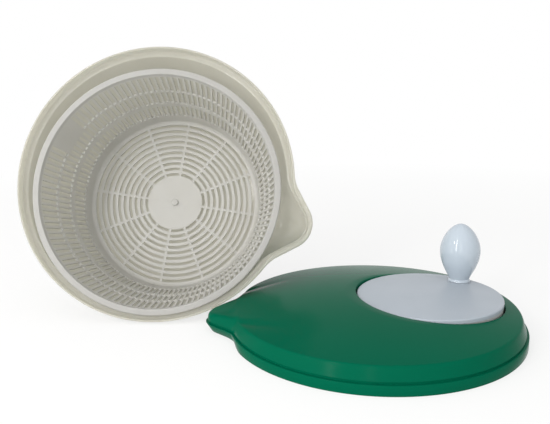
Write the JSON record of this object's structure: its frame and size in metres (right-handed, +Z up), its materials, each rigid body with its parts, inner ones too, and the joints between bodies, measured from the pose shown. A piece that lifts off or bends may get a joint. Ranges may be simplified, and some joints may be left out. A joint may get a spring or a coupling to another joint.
{
  "type": "salad spinner",
  "caption": "Salad spinner with its lid off: round bowl with a pouring spout, slotted basket that spins in it, and a domed lid with an off-centre crank disc and an egg-shaped knob.",
  "frame": {"origin": "on the table, below the middle of the whole object's box as it stands: bowl on its side at the left, lid flat at the right", "axes": "+Z up, +X from the bowl to the lid (the longest extent), -Y out of the bowl's mouth"},
  "size_m": [0.4622, 0.3138, 0.2545],
  "materials": {
    "bowl_plastic": "translucent milky plastic, satin",
    "basket_plastic": "off-white plastic, satin",
    "lid_plastic": "deep green plastic, glossy",
    "disc_plastic": "white plastic, glossy",
    "knob_plastic": "white plastic, glossy",
    "gear_plastic": "white acetal, matt",
    "bearing_nylon": "natural nylon, waxy",
    "pin_steel": "ground stainless steel",
    "screw_steel": "plated steel"
  },
  "bodies": {
    "bowl": {"bowl": "bowl_plastic"},
    "pivot": {"pivot_stud": "basket_plastic", "pivot_foot": "bearing_nylon"},
    "basket": {"basket": "basket_plastic"},
    "lid": {"lid_shell": "lid_plastic", "gear_cover": "gear_plastic", "cover_screws": "screw_steel", "disc_bush": "bearing_nylon", "shaft_bush": "bearing_nylon"},
    "disc": {"crank_disc": "disc_plastic", "ring_gear": "gear_plastic", "ring_gear_screws": "screw_steel", "disc_washer": "screw_steel", "disc_screw": "screw_steel", "knob_spindle": "pin_steel", "spindle_clip": "pin_steel"},
    "knob": {"knob_body": "knob_plastic", "knob_cap": "knob_plastic"},
    "drive": {"drive_pinion": "gear_plastic", "drive_shaft": "pin_steel", "shaft_clip": "pin_steel", "basket_driver": "gear_plastic", "driver_washer": "screw_steel", "driver_screw": "screw_steel"}
  },
  "joints": [
    {"name": "basket_lift", "type": "slide", "parent": "bowl", "child": "pivot", "axis": [-0.0331, -0.9483, 0.3158], "range_m": [0, 0.12]},
    {"name": "basket_spin", "type": "hinge", "parent": "pivot", "child": "basket", "pos_m": [-0.09561, 0.11286, 0.09134], "axis": [-0.0331, -0.9483, 0.3158], "continuous": true},
    {"name": "lid_lift", "type": "slide", "parent": "bowl", "child": "lid", "axis": [0.8, -0.36, 0.48], "range_m": [0, 0.12]},
    {"name": "disc_spin", "type": "hinge", "parent": "lid", "child": "disc", "pos_m": [0.15062, -0.02693, 0], "axis": [0, 0, 1], "continuous": true},
    {"name": "knob_spin", "type": "hinge", "parent": "disc", "child": "knob", "pos_m": [0.18778, 0.00653, 0.031], "axis": [0, 0, 1], "continuous": true},
    {"name": "drive_spin", "type": "hinge", "parent": "lid", "child": "drive", "pos_m": [0.10111, -0.02693, 0], "axis": [0, 0, 1], "continuous": true}
  ],
  "couplings": [
    {"joint": "drive_spin", "follows": "disc_spin", "ratio": 6}
  ]
}
